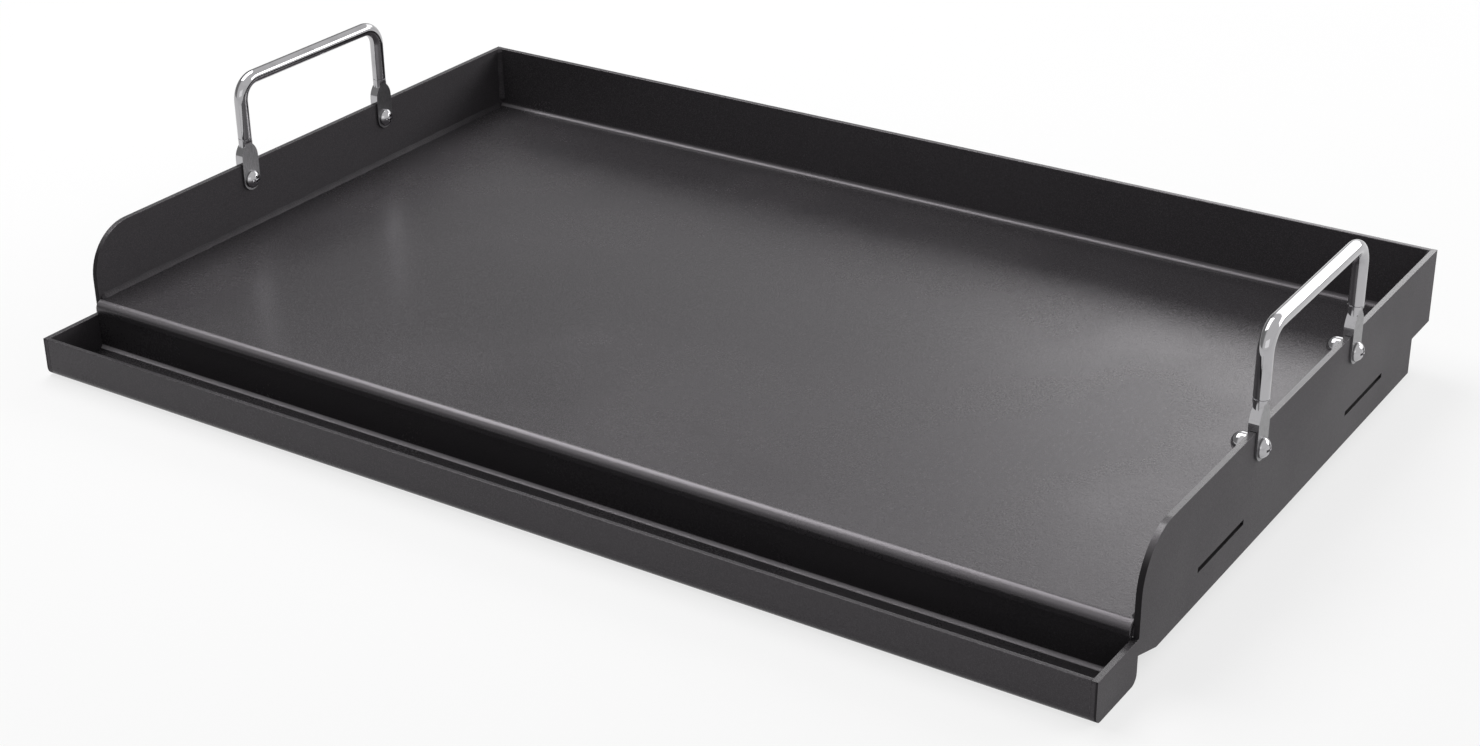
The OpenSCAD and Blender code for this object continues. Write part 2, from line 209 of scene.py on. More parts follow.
class GriddleFinish(bpy.types.PropertyGroup):
    """Colours and gloss of the coated sheets and the bright parts."""

    coat: bpy.props.FloatVectorProperty(
        name="Coat", description="Colour of the cured black powder coat", subtype="COLOR", size=3,
        min=0, max=1, default=(0.0315, 0.0296, 0.0318))
    coat_fleck: bpy.props.FloatVectorProperty(
        name="Coat Fleck", description="Colour of the paler specks in the coat", subtype="COLOR", size=3,
        min=0, max=1, default=(0.061, 0.0573, 0.0615))
    coat_edge: bpy.props.FloatVectorProperty(
        name="Coat on Edges", description="Colour where the coat is thin along an edge", subtype="COLOR", size=3,
        min=0, max=1, default=(0.15, 0.143, 0.15))
    # Lighter colour along the bends that look up: a painted highlight
    bend_highlight_colour: bpy.props.FloatVectorProperty(
        name="Coat on Bends", description="Colour where the coat is rubbed along the bends of a sheet",
        subtype="COLOR", size=3, min=0, max=1, default=(0.36, 0.343, 0.36))
    # Dark colour on the front-facing cut edges and inside the vent slots: painted shade
    edge_shade_colour: bpy.props.FloatVectorProperty(
        name="Cut Edges", description="Colour of the dull cut edges at the front of the side panels",
        subtype="COLOR", size=3, min=0, max=1, default=(0.0095, 0.0089, 0.0095))
    plate_gloss: bpy.props.FloatProperty(
        name="Plate Roughness", description="Roughness of the cooking plate's coat", subtype="FACTOR",
        default=0.22, min=0.05, max=1)
    panel_gloss: bpy.props.FloatProperty(
        name="Panel Roughness", description="Roughness of the side panels' coat", subtype="FACTOR",
        default=0.6, min=0.05, max=1)
    trough_gloss: bpy.props.FloatProperty(
        name="Trough Roughness", description="Roughness of the grease trough's coat", subtype="FACTOR",
        default=0.26, min=0.05, max=1)
    brace_gloss: bpy.props.FloatProperty(
        name="Brace Roughness", description="Roughness of the thinner coat under the plate", subtype="FACTOR",
        default=0.52, min=0.05, max=1)
    bright: bpy.props.FloatVectorProperty(
        name="Plating", description="Colour of the bright plating", subtype="COLOR", size=3,
        min=0, max=1, default=(0.43, 0.425, 0.437))
    bright_dull: bpy.props.FloatVectorProperty(
        name="Plating Smudges", description="Colour of the plating under handling marks", subtype="COLOR", size=3,
        min=0, max=1, default=(0.33, 0.326, 0.336))
    bright_gloss: bpy.props.FloatProperty(
        name="Plating Roughness", description="Roughness of the bright plating", subtype="FACTOR",
        default=0.07, min=0.01, max=1)
    fork: bpy.props.FloatVectorProperty(
        name="Fork Steel", description="Colour of the ground faces of the forks", subtype="COLOR", size=3,
        min=0, max=1, default=(0.29, 0.288, 0.294))
    fork_dark: bpy.props.FloatVectorProperty(
        name="Fork Grain", description="Colour in the grain of the ground faces", subtype="COLOR", size=3,
        min=0, max=1, default=(0.19, 0.188, 0.193))
    fork_gloss: bpy.props.FloatProperty(
        name="Fork Roughness", description="Roughness of the ground faces of the forks", subtype="FACTOR",
        default=0.34, min=0.05, max=1)


class GriddleStudio(bpy.types.PropertyGroup):
    """Camera, floor and lamps of the studio."""

    eye: bpy.props.FloatVectorProperty(
        name="Camera", description="Place of the camera", subtype="TRANSLATION", unit="LENGTH", size=3,
        default=(0.68453, -1.02569, 0.61159))
    aim: bpy.props.FloatVectorProperty(
        name="Camera Turn", description="Turn of the camera", subtype="EULER", unit="ROTATION", size=3,
        default=(math.radians(63.5446), math.radians(0.6131), math.radians(33.1298)))
    lens: bpy.props.FloatProperty(
        name="Lens", description="Focal length of the camera", unit="CAMERA", default=60.986, min=10, max=300)
    floor_size: bpy.props.FloatProperty(
        name="Floor", description="Side of the square floor", unit="LENGTH", default=24, min=2, max=100)
    floor: bpy.props.FloatVectorProperty(
        name="Floor Colour", description="Colour of the floor", subtype="COLOR", size=3,
        min=0, max=1, default=(0.88, 0.88, 0.88))
    sky: bpy.props.FloatProperty(
        name="Room Light", description="Strength of the light from all around", default=0.24, min=0, max=2)
    top_power: bpy.props.FloatProperty(
        name="Top Box", description="Power of the soft box overhead", unit="POWER", default=26, min=0, max=500)
    back_power: bpy.props.FloatProperty(
        name="Back Box", description="Power of the soft box behind the griddle", unit="POWER",
        default=10, min=0, max=500)
    side_power: bpy.props.FloatProperty(
        name="Side Box", description="Power of the soft box to the right", unit="POWER", default=20, min=0, max=500)
    front_power: bpy.props.FloatProperty(
        name="Front Box", description="Power of the soft box in front", unit="POWER", default=5, min=0, max=500)


# Shader tools

def put(tree, kind, x, y, **values):
    """A node of one kind at a place in a node tree, with its properties set."""
    node = tree.nodes.new(kind)
    node.location = (x, y)
    for key, value in values.items():
        setattr(node, key, value)
    return node


def feed(tree, socket, value):
    """Links a value into a socket, or sets the socket to a plain number or colour."""
    if isinstance(value, bpy.types.NodeSocket):
        tree.links.new(value, socket)
    elif isinstance(value, (int, float)):
        socket.default_value = value
    else:
        socket.default_value = (*value, 1)


def math_node(tree, operation, x, y, *values):
    """A Math node whose inputs are links or plain numbers."""
    node = put(tree, "ShaderNodeMath", x, y, operation=operation)
    for socket, value in zip(node.inputs, values):
        feed(tree, socket, value)
    return node.outputs[0]


def spread(tree, x, y, value, low, high, to_low=0.0, to_high=1.0):
    """A Map Range node that eases one range of a value into another."""
    node = put(tree, "ShaderNodeMapRange", x, y, interpolation_type="SMOOTHSTEP")
    given = {"Value": value, "From Min": low, "From Max": high, "To Min": to_low, "To Max": to_high}
    for label, amount in given.items():
        feed(tree, node.inputs[label], amount)
    return node.outputs["Result"]


def noise(tree, x, y, place, scale, detail, rough=0.5):
    """A Noise Texture at a place; its scale is a link or a number."""
    node = put(tree, "ShaderNodeTexNoise", x, y)
    for label, value in (("Vector", place), ("Scale", scale), ("Detail", detail), ("Roughness", rough)):
        feed(tree, node.inputs[label], value)
    return node.outputs["Fac"]


def blend(tree, x, y, factor, first, second):
    """A colour Mix node; the colours are links or plain colours."""
    node = put(tree, "ShaderNodeMix", x, y, data_type="RGBA")
    for socket, value in zip((node.inputs["Factor"], node.inputs[6], node.inputs[7]), (factor, first, second)):
        feed(tree, socket, value)
    return node.outputs[2]


def split(tree, x, y, vector):
    """The X, Y and Z of a vector."""
    node = put(tree, "ShaderNodeSeparateXYZ", x, y)
    tree.links.new(vector, node.inputs["Vector"])
    return node.outputs


def new_group(name, inputs, outputs):
    """An empty shader node group with float sockets; returns the tree and its two end nodes."""
    tree = bpy.data.node_groups.new(name, "ShaderNodeTree")
    for label, default in inputs:
        socket = tree.interface.new_socket(label, in_out="INPUT", socket_type="NodeSocketFloat")
        socket.default_value = default
    for label in outputs:
        tree.interface.new_socket(label, in_out="OUTPUT", socket_type="NodeSocketFloat")
    return tree, put(tree, "NodeGroupInput", -1100, 0), put(tree, "NodeGroupOutput", 500, 0)


def give(tree, result, **outputs):
    """Links values to the outputs of a node group."""
    for label, value in outputs.items():
        tree.links.new(value, result.inputs[label])


def powder_coat_grain():
    """Cured powder coat: a fine orange peel, paler specks and slow changes of gloss."""
    if "powder_coat_grain" in bpy.data.node_groups:
        return bpy.data.node_groups["powder_coat_grain"]
    tree, given, result = new_group(
        "powder_coat_grain",
        (("Peel Scale", 850), ("Speck Scale", 2400), ("Cloud Scale", 7)),
        ("Height", "Speck", "Gloss"))
    place = put(tree, "ShaderNodeTexCoord", -1100, 300).outputs["Object"]
    peel = noise(tree, -800, 300, place, given.outputs["Peel Scale"], 2.0)
    flecks = noise(tree, -800, 60, place, given.outputs["Speck Scale"], 1.5, 0.6)
    clouds = noise(tree, -800, -200, place, given.outputs["Cloud Scale"], 3.0)
    speck = spread(tree, -560, 60, flecks, 0.42, 0.72)
    cloud = spread(tree, -560, -200, clouds, 0.3, 0.7)
    fine = math_node(tree, "MULTIPLY", -560, 300, peel, 0.45)
    give(tree, result,
         Height=math_node(tree, "MULTIPLY_ADD", -300, 300, speck, 0.35, peel),
         Speck=speck,
         Gloss=math_node(tree, "MULTIPLY_ADD", -300, -60, cloud, 0.55, fine))
    return tree


def thin_edge():
    """Where a finish is thin or rubbed along the rounded edges of a piece."""
    if "thin_edge" in bpy.data.node_groups:
        return bpy.data.node_groups["thin_edge"]
    tree, given, result = new_group("thin_edge", (("Break Scale", 320), ("Amount", 0.5)), ("Mask",))
    place = put(tree, "ShaderNodeTexCoord", -1100, 300).outputs["Object"]
    band = put(tree, "ShaderNodeAttribute", -800, 300, attribute_name=EDGE_BAND).outputs["Fac"]
    patches = spread(tree, -560, 0, noise(tree, -800, 0, place, given.outputs["Break Scale"], 2.5), 0.35, 0.68)
    rubbed = math_node(tree, "MULTIPLY", -300, 200, band, patches)
    give(tree, result, Mask=math_node(tree, "MULTIPLY", 0, 100, rubbed, given.outputs["Amount"]))
    return tree


def bend_highlight():
    """Painted highlight along the bends of a sheet that look up; the rounded edges are left out."""
    if "bend_highlight" in bpy.data.node_groups:
        return bpy.data.node_groups["bend_highlight"]
    tree, given, result = new_group("bend_highlight", (("Lowest", 0.35), ("Amount", 0.36)), ("Mask",))
    facing = split(tree, -900, 300, put(tree, "ShaderNodeTexCoord", -1100, 300).outputs["Normal"])
    band = put(tree, "ShaderNodeAttribute", -500, -300, attribute_name=EDGE_BAND).outputs["Fac"]
    full = math_node(tree, "ADD", -700, 100, given.outputs["Lowest"], BEND_HIGHLIGHT_EASE)
    upward = spread(tree, -500, 300, facing["Z"], given.outputs["Lowest"], full)
    tilted = spread(tree, -500, 0, facing["Z"], 0.99, 0.95)
    bent = math_node(tree, "MULTIPLY", -300, 300, upward, tilted)
    kept = math_node(tree, "MULTIPLY", -100, 200, bent, math_node(tree, "SUBTRACT", -300, -300, 1.0, band))
    give(tree, result, Mask=math_node(tree, "MULTIPLY", 200, 100, kept, given.outputs["Amount"]))
    return tree


def plating_marks():
    """Handling marks on plated steel: faint smudges and fine hairlines."""
    if "plating_marks" in bpy.data.node_groups:
        return bpy.data.node_groups["plating_marks"]
    tree, given, result = new_group(
        "plating_marks", (("Smudge Scale", 60), ("Hair Scale", 1400)), ("Height", "Smudge", "Gloss"))
    place = put(tree, "ShaderNodeTexCoord", -1100, 300).outputs["Object"]
    blots = noise(tree, -800, 300, place, given.outputs["Smudge Scale"], 4.0, 0.6)
    smudge = spread(tree, -560, 300, blots, 0.5, 0.78)
    hair = noise(tree, -800, -60, place, given.outputs["Hair Scale"], 3.0, 0.65)
    faint = math_node(tree, "MULTIPLY", -560, -60, hair, 0.4)
    give(tree, result,
         Height=hair,
         Smudge=smudge,
         Gloss=math_node(tree, "MULTIPLY_ADD", -300, 0, smudge, 0.6, faint))
    return tree


def use_group(tree, group, x, y, **values):
    """A node group placed in a material with its own values."""
    node = put(tree, "ShaderNodeGroup", x, y, node_tree=group)
    for label, value in values.items():
        node.inputs[label.replace("_", " ").title()].default_value = value
    return node.outputs


def new_material(name):
    """A material with its Principled BSDF, as (material, tree, shader)."""
    material = bpy.data.materials.new(name)
    material.use_nodes = True
    tree = material.node_tree
    return material, tree, tree.nodes["Principled BSDF"]


def bump(tree, shader, height, strength, distance):
    """Bumps the shader's normal by a height."""
    node = put(tree, "ShaderNodeBump", -220, -320)
    node.inputs["Strength"].default_value = strength
    node.inputs["Distance"].default_value = distance
    tree.links.new(height, node.inputs["Height"])
    tree.links.new(node.outputs["Normal"], shader.inputs["Normal"])


def panel_edge_shade_and_rims(tree):
    """Masks on the side panels: painted shade on the cut edges that face the front and inside the vent slots, and
    the rubbed top rims.
    """
    here = put(tree, "ShaderNodeTexCoord", -1900, 800)
    facing = split(tree, -1700, 600, here.outputs["Normal"])
    place = split(tree, -1700, 1000, here.outputs["Object"])
    left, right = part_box("left_side_panel")[0].x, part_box("right_side_panel")[1].x
    half = (right - left) / 2
    across = math_node(tree, "SUBTRACT", -1500, 1200, place["X"], (left + right) / 2)
    corner = spread(tree, -1100, 1200, math_node(tree, "ABSOLUTE", -1300, 1200, across),
                    half - CORNER_LINE[0], half - CORNER_LINE[1])
    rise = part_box("grease_trough")[1].z
    above = spread(tree, -1300, 1000, place["Z"], rise - TROUGH_DROP[0], rise - TROUGH_DROP[1])
    bare = math_node(tree, "MAXIMUM", -900, 1000, corner, above)
    front = math_node(tree, "MULTIPLY", -700, 800, spread(tree, -1300, 600, facing["Y"], -0.5, -0.85), bare)
    slot_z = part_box("left_plate_weld")[0].z - SLOT_BELOW_TOP
    level = math_node(tree, "SUBTRACT", -1500, 1400, place["Z"], slot_z)
    in_slot = spread(tree, -1100, 1400, math_node(tree, "ABSOLUTE", -1300, 1400, level), *SLOT_REACH)
    inner = spread(tree, -1100, 400, math_node(tree, "ABSOLUTE", -1300, 400, facing["X"]), 0.97, 0.85)
    slot = math_node(tree, "MULTIPLY", -700, 1400, in_slot, inner)
    return math_node(tree, "MAXIMUM", -500, 1000, front, slot), spread(tree, -1300, 200, facing["Z"], 0.45, 0.8)


def coat_material(name, rough, peel=850, edge=0.3, bend=None, lumps=0.5, sheen=0.5, shade_cut_edges=False):
    """Black satin powder coat; bend holds the values of a painted highlight along its bends, and the flag for cut
    edges paints shade on a panel's front cut edges and inside its vent slots.
    """
    finish = bpy.context.scene.griddle_finish
    material, tree, shader = new_material(name)
    grain = use_group(tree, powder_coat_grain(), -900, 100, peel_scale=peel)
    colour = blend(tree, -600, 250, grain["Speck"], finish.coat, finish.coat_fleck)
    gloss = spread(tree, -600, -60, grain["Gloss"], 0.15, 0.85, rough - GLOSS_SWING, rough + GLOSS_SWING)
    if edge:
        worn = use_group(tree, thin_edge(), -900, -250, amount=edge)
        colour = blend(tree, -380, 250, worn["Mask"], colour, finish.coat_edge)
    if bend:
        # Painted highlight: a lighter colour along the bends that look up
        bends = use_group(tree, bend_highlight(), -600, 500, **bend)
        colour = blend(tree, -160, 400, bends["Mask"], colour, finish.bend_highlight_colour)
    if shade_cut_edges:
        # Painted shade: darker, rougher cut edges that face the front, and darker vent slot insides
        cut, rim = panel_edge_shade_and_rims(tree)
        colour = blend(tree, -160, 250, cut, colour, finish.edge_shade_colour)
        gloss = math_node(tree, "MULTIPLY_ADD", -380, -60, cut, CUT_ROUGHER, gloss)
        gloss = math_node(tree, "MULTIPLY_ADD", -160, -60, rim, -RIM_SMOOTHER, gloss)
        tree.links.new(math_node(tree, "MULTIPLY", -160, -200, rim, RIM_SHEEN), shader.inputs["Coat Weight"])
        shader.inputs["Coat Roughness"].default_value = RIM_SHEEN_ROUGHNESS
    tree.links.new(colour, shader.inputs["Base Color"])
    tree.links.new(gloss, shader.inputs["Roughness"])
    shader.inputs["Specular IOR Level"].default_value = sheen
    shader.inputs["Specular Tint"].default_value = COAT_TINT
    bump(tree, shader, grain["Height"], lumps, PEEL_DEPTH)
    return material


def bright_material(name, hair=1400, smudge=60):
    """Bright plating with faint smudges and hairlines."""
    finish = bpy.context.scene.griddle_finish
    material, tree, shader = new_material(name)
    marks = use_group(tree, plating_marks(), -900, 100, smudge_scale=smudge, hair_scale=hair)
    colour = blend(tree, -600, 250, marks["Smudge"], finish.bright, finish.bright_dull)
    low, high = finish.bright_gloss * 0.7, finish.bright_gloss * 2.2
    tree.links.new(colour, shader.inputs["Base Color"])
    tree.links.new(spread(tree, -600, -60, marks["Gloss"], 0.1, 0.9, low, high), shader.inputs["Roughness"])
    shader.inputs["Metallic"].default_value = 1.0
    bump(tree, shader, marks["Height"], 0.03, HAIRLINE_DEPTH)
    return material


def fork_material(name):
    """Plated forks with ground flats: grainy faces towards the sides, bright polished edges."""
    finish = bpy.context.scene.griddle_finish
    material, tree, shader = new_material(name)
    here = put(tree, "ShaderNodeTexCoord", -1500, 300)
    drawn = put(tree, "ShaderNodeMapping", -1300, 420)
    tree.links.new(here.outputs["Object"], drawn.inputs["Vector"])
    drawn.inputs["Scale"].default_value = (1, 1, 0.15)
    lines = noise(tree, -1100, 520, drawn.outputs["Vector"], 2400, 2.0, 0.6)
    grain = math_node(tree, "MULTIPLY", -880, 200, noise(tree, -1100, 260, here.outputs["Object"], 3600, 1.0), 0.5)
    ground = math_node(tree, "MULTIPLY_ADD", -880, 420, lines, 0.5, grain)
    sideways = math_node(tree, "ABSOLUTE", -1100, -160, split(tree, -1300, -60, here.outputs["Normal"])["X"])
    flat = spread(tree, -880, -100, sideways, 0.86, 0.985)
    marks = use_group(tree, plating_marks(), -880, -400, smudge_scale=120, hair_scale=1800)
    worn = use_group(tree, thin_edge(), -880, -620, break_scale=500, amount=0.9)
    dull = blend(tree, -640, 420, spread(tree, -860, 620, ground, 0.4, 0.6), finish.fork_dark, finish.fork)
    bright = blend(tree, -640, 160, marks["Smudge"], finish.bright, finish.bright_dull)
    body = blend(tree, -420, 300, flat, bright, dull)
    polish = spread(tree, -640, -100, marks["Gloss"], 0.1, 0.9, finish.bright_gloss, finish.bright_gloss * 2.4)
    gloss = math_node(tree, "MULTIPLY_ADD", -400, -160, flat, finish.fork_gloss - finish.bright_gloss, polish)
    tree.links.new(blend(tree, -200, 300, worn["Mask"], body, finish.bright), shader.inputs["Base Color"])
    tree.links.new(gloss, shader.inputs["Roughness"])
    shader.inputs["Metallic"].default_value = 1.0
    bump(tree, shader, math_node(tree, "MULTIPLY", -420, -420, ground, flat), 0.22, GRIND_DEPTH)
    return material


def seen_ray(tree, x, y):
    """1 on the rays with which the camera, bright metal and clear things see the background."""
    path = put(tree, "ShaderNodeLightPath", x, y)
    either = math_node(tree, "MAXIMUM", x + 200, y, path.outputs["Is Camera Ray"], path.outputs["Is Glossy Ray"])
    return math_node(tree, "MAXIMUM", x + 400, y, either, path.outputs["Is Transmission Ray"])


def floor_material(name):
    """White floor that shows as near white around the griddle and keeps its shadow; under the plate its glow is
    left out over the griddle's footprint, a painted shadow on top of the real one.
    """
    studio = bpy.context.scene.griddle_studio
    material, tree, shader = new_material(name)
    place = put(tree, "ShaderNodeTexCoord", -900, 300).outputs["Object"]
    fibres = noise(tree, -700, 300, place, 900, 3.0)
    pale = tuple(0.97 * v for v in studio.floor)
    tree.links.new(blend(tree, -300, 300, fibres, pale, studio.floor), shader.inputs["Base Color"])
    shader.inputs["Roughness"].default_value = 0.9
    shader.inputs["Specular IOR Level"].default_value = 0.1
    parts = split(tree, -700, -400, place)
    # The glow fades out inside the griddle's footprint: a painted shadow under the griddle, on top of its real
    # shadow
    past = [math_node(tree, "SUBTRACT", -300, y, math_node(tree, "ABSOLUTE", -500, y, parts[axis]), reach)
            for axis, reach, y in (("X", CAD_BOX[1][0], -400), ("Y", CAD_BOX[1][1], -600))]
    clear = spread(tree, 100, -500, math_node(tree, "MAXIMUM", -100, -500, *past), -SHADE_EASE, 0.0)
    shown = math_node(tree, "MULTIPLY", -100, 0, seen_ray(tree, -700, 0), FLOOR_GLOW)
    glow = put(tree, "ShaderNodeEmission", -300, -200)
    mixed = put(tree, "ShaderNodeMixShader", 500, 100)
    tree.links.new(math_node(tree, "MULTIPLY", 300, 0, shown, clear), mixed.inputs["Fac"])
    tree.links.new(shader.outputs["BSDF"], mixed.inputs[1])
    tree.links.new(glow.outputs["Emission"], mixed.inputs[2])
    output = tree.nodes["Material Output"]
    output.location = (720, 100)
    tree.links.new(mixed.outputs["Shader"], output.inputs["Surface"])
    return material


# Mesh tools

def rounded_copy(node, radius):
    """The solid's mesh with rounded hard edges; the rounding is marked in the face attribute edge_band."""
    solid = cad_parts[node]
    bm = bmesh.new()
    bm.from_mesh(solid.data)
    bm.transform(solid.matrix_world)
    bmesh.ops.remove_doubles(bm, verts=bm.verts, dist=WELD_DISTANCE)
    bmesh.ops.dissolve_limit(bm, angle_limit=COPLANAR, verts=bm.verts, edges=bm.edges)
    band = bm.faces.layers.float.new(EDGE_BAND)
    hard = [e for e in bm.edges if e.is_manifold and e.calc_face_angle() > HARD_EDGE]
    made = bmesh.ops.bevel(bm, geom=hard, offset=radius, offset_type="OFFSET", segments=ROUND_STEPS, profile=0.5,
                           affect="EDGES", clamp_overlap=True, material=-1)
    for face in made["faces"]:
        face[band] = 1.0
    return bm


def grid_faces(bm, rows, closed):
    """Quads between neighbouring rows of vertices, all turned the same way."""
    for low, high in zip(rows, rows[1:]):
        count = len(low)
        for i in range(count if closed else count - 1):
            j = (i + 1) % count
            bm.faces.new((low[i], low[j], high[j], high[i]))


def ring(bm, centre, across, up, radius, count):
    """A ring of vertices in the plane of two directions."""
    return [bm.verts.new(centre + radius * (across * math.cos(a) + up * math.sin(a)))
            for a in (math.tau * i / count for i in range(count))]


def lathe(profile, count):
    """A turned form about the X axis from (along, radius) points; ends on the axis are closed with fans."""
    bm = bmesh.new()
    rows = []
    for along, radius in profile:
        centre = Vector((along, 0, 0))
        if radius == 0:
            rows.append([bm.verts.new(centre)])
        else:
            rows.append(ring(bm, centre, Vector((0, 1, 0)), Vector((0, 0, 1)), radius, count))
    for low, high in zip(rows, rows[1:]):
        if len(low) == 1:
            for i in range(count):
                bm.faces.new((low[0], high[(i + 1) % count], high[i]))
        elif len(high) == 1:
            for i in range(count):
                bm.faces.new((low[i], low[(i + 1) % count], high[0]))
        else:
            grid_faces(bm, [low, high], closed=True)
    return bm


def arc(centre, radius, start, end, steps):
    """Points of an arc in a plane, angles in degrees."""
    return [(centre[0] + radius * math.cos(a), centre[1] + radius * math.sin(a))
            for a in (math.radians(start + (end - start) * i / steps) for i in range(steps + 1))]


def finish_piece(name, bm, material, node, body):
    """Turns a bmesh into a shaded piece that stands for a CAD node and rides on its body."""
    bmesh.ops.recalc_face_normals(bm, faces=bm.faces)
    for face in bm.faces:
        face.smooth = True
    mesh = bpy.data.meshes.new(name)
    bm.to_mesh(mesh)
    bm.free()
    mesh.set_sharp_from_angle(angle=SMOOTH_BELOW)
    mesh.materials.append(material)
    piece = bpy.data.objects.new(name, mesh)
    bpy.context.scene.collection.objects.link(piece)
    even = piece.modifiers.new("even_shading", "WEIGHTED_NORMAL")
    even.keep_sharp = True
    even.weight = FACE_WEIGHT
    if node:
        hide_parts(node)
    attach(piece, body)


def sheet_piece(node, radius, material):
    """A coated piece whose shape is the solid's, with rounded edges."""
    finish_piece("coated_" + node, rounded_copy(node, radius), material, node, BODY)


# Pieces

def seam_bead(start, end, into_a, into_b, leg, shape):
    """A rippled, slightly crowned fillet bead along the inner corner between two faces."""
    bm = bmesh.new()
    along = end - start
    length = along.length
    along.normalize()
    stations = max(12, int(length / (shape.seam_pitch / 6)))
    across = 9
    blunt, ease = 0.4 * MM, 2.2 * MM
    rows = []
    out = (into_a + into_b).normalized()
    for i in range(stations + 1):
        s = length * i / stations
        taper = min(1.0, (min(s, length - s) + blunt) / ease) ** 0.5
        swell = 1 + 0.05 * math.sin(s * 410) + 0.035 * math.sin(s * 173 + 1.3)
        row = [bm.verts.new(start + along * s)]
        for k in range(across):
            t = k / (across - 1)
            u = 2 * t - 1
            crown = 1 - u * u
            phase = (s - 0.55 * shape.seam_pitch * crown) / shape.seam_pitch
            ripple = shape.seam_ripple * crown * math.sin(math.tau * phase)
            edge = into_a * (leg * (1 - t)) + into_b * (leg * t)
            lift = out * (shape.seam_bulge * crown + ripple)
            row.append(bm.verts.new(start + along * s + (edge * swell + lift) * taper))
        rows.append(row)
    grid_faces(bm, rows, closed=True)
    bm.faces.new(rows[0])
    bm.faces.new(list(reversed(rows[-1])))
    return bm


def rod_form(node, shape):
    """The handle's rod as one smooth sweep with round bends and eased feet."""
    low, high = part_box(node)
    x = (low.x + high.x) / 2
    radius = shape.rod_d / 2
    front, rear = low.y + radius, high.y - radius
    grip = high.z - radius
    bend_r = shape.rod_bend_r
    foot = [shape.rod_foot_z + h * MM for h in (0, 0.2, 0.6, 6, 14)]
    eased = [radius - 0.25 * MM, radius - 0.08 * MM]
    path = [(front, z) for z in foot]
    path += arc((front + bend_r, grip - bend_r), bend_r, 180, 90, 24)
    path += [(front + (rear - front) * t, grip) for t in (0.3, 0.5, 0.7)]
    path += arc((rear - bend_r, grip - bend_r), bend_r, 90, 0, 24)
    path += [(rear, z) for z in reversed(foot)]
    girth = eased + [radius] * (len(path) - 2 * len(eased)) + eased[::-1]
    bm = bmesh.new()
    rows = []
    sideways = Vector((1, 0, 0))
    for i, (y, z) in enumerate(path):
        before, after = path[max(i - 1, 0)], path[min(i + 1, len(path) - 1)]
        along = Vector((0, after[0] - before[0], after[1] - before[1])).normalized()
        rows.append(ring(bm, Vector((x, y, z)), sideways, along.cross(sideways), girth[i], 56))
    grid_faces(bm, rows, closed=True)
    bm.faces.new(rows[0])
    bm.faces.new(list(reversed(rows[-1])))
    return bm


def dome_radius(radius, height):
    """Radius of the sphere whose cap has a given base radius and height."""
    return (radius * radius + height * height) / (2 * height)


def screw_head(bm, radius, shape):
    """Domed head with a cross recess and a flat underside at X = 0."""
    dome_h = shape.head_h - shape.head_edge
    sphere_r = dome_radius(radius, dome_h)
    half_w, half_l = shape.recess_w / 2, shape.recess_l / 2
    draft, lead = 0.1 * MM, 0.08 * MM
    lines = [0, half_w - draft, half_w + lead, half_w + 0.5 * MM, half_l - 0.7 * MM, half_l - draft, half_l + lead]
    lines += [half_l + lead + (radius - half_l - lead) * t for t in (0.2, 0.45, 0.7, 0.9, 1)]
    lines = [-v for v in reversed(lines[1:])] + lines
    keep = half_l + 2 * lead
    face = []
    for v in lines:
        row = []
        for u in lines:
            far = max(abs(u), abs(v))
            y, z = u, v
            if far > keep:
                pull = (far - keep) / (radius - keep)
                reach = math.hypot(u, v)
                y = u + pull * (u * far / reach - u)
                z = v + pull * (v * far / reach - v)
            in_arm = ((abs(u) < half_w and abs(v) < half_l) or (abs(v) < half_w and abs(u) < half_l))
            r = min(math.hypot(y, z), radius)
            top = shape.head_edge + dome_h - sphere_r + math.sqrt(max(sphere_r * sphere_r - r * r, 0))
            if in_arm:
                top = min(top, shape.head_h - shape.recess_depth)
            row.append(bm.verts.new((top, y, z)))
        face.append(row)
    grid_faces(bm, face, closed=False)
    down = [row[-1] for row in face[1:]]
    back = [row[0] for row in reversed(face)][1:-1]
    rim = face[0] + down + list(reversed(face[-1]))[1:] + back
    rows = [rim]
    under = radius - shape.screw_d / 2 + 0.3 * MM
    for along, inset in ((0.3 * MM, 0), (0.08 * MM, 0.05 * MM), (0, 0.25 * MM), (0, under)):
        share = 1 - inset / radius
        rows.append([bm.verts.new((along, v.co.y * share, v.co.z * share)) for v in rim])
    grid_faces(bm, rows, closed=True)
    bm.faces.new(rows[-1])


def screw_thread(bm, length, shape):
    """Shank with a helical thread from just inside the head to a slightly pointed end."""
    root, tip = 0.4 * MM, 0.7 * MM
    around, steps = 28, int((length + root) / shape.thread_pitch * 8)
    rows = []
    for i in range(steps + 1):
        along = root - (length + root) * i / steps
        point = min(1.0, (length + along) / tip * 0.28 + 0.72)
        row = []
        for k in range(around):
            angle = math.tau * k / around
            wave = abs(2 * ((-along / shape.thread_pitch - k / around) % 1.0) - 1)
            r = min(shape.screw_d / 2 - shape.thread_depth * wave, shape.screw_d / 2 * point)
            row.append(bm.verts.new((along, r * math.cos(angle), r * math.sin(angle))))
        rows.append(row)
    grid_faces(bm, rows, closed=True)
    bm.faces.new(rows[0])
    bm.faces.new(list(reversed(rows[-1])))


def screw_form(node, shape):
    """A screw about its own axis, whose head stands a hair off the fork."""
    low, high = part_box(node)
    base_x = high.x - shape.head_h + HEAD_OFF
    bm = bmesh.new()
    screw_head(bm, (high.y - low.y) / 2, shape)
    screw_thread(bm, base_x - low.x, shape)
    bmesh.ops.translate(bm, vec=Vector((base_x, (low.y + high.y) / 2, (low.z + high.z) / 2)), verts=bm.verts)
    return bm


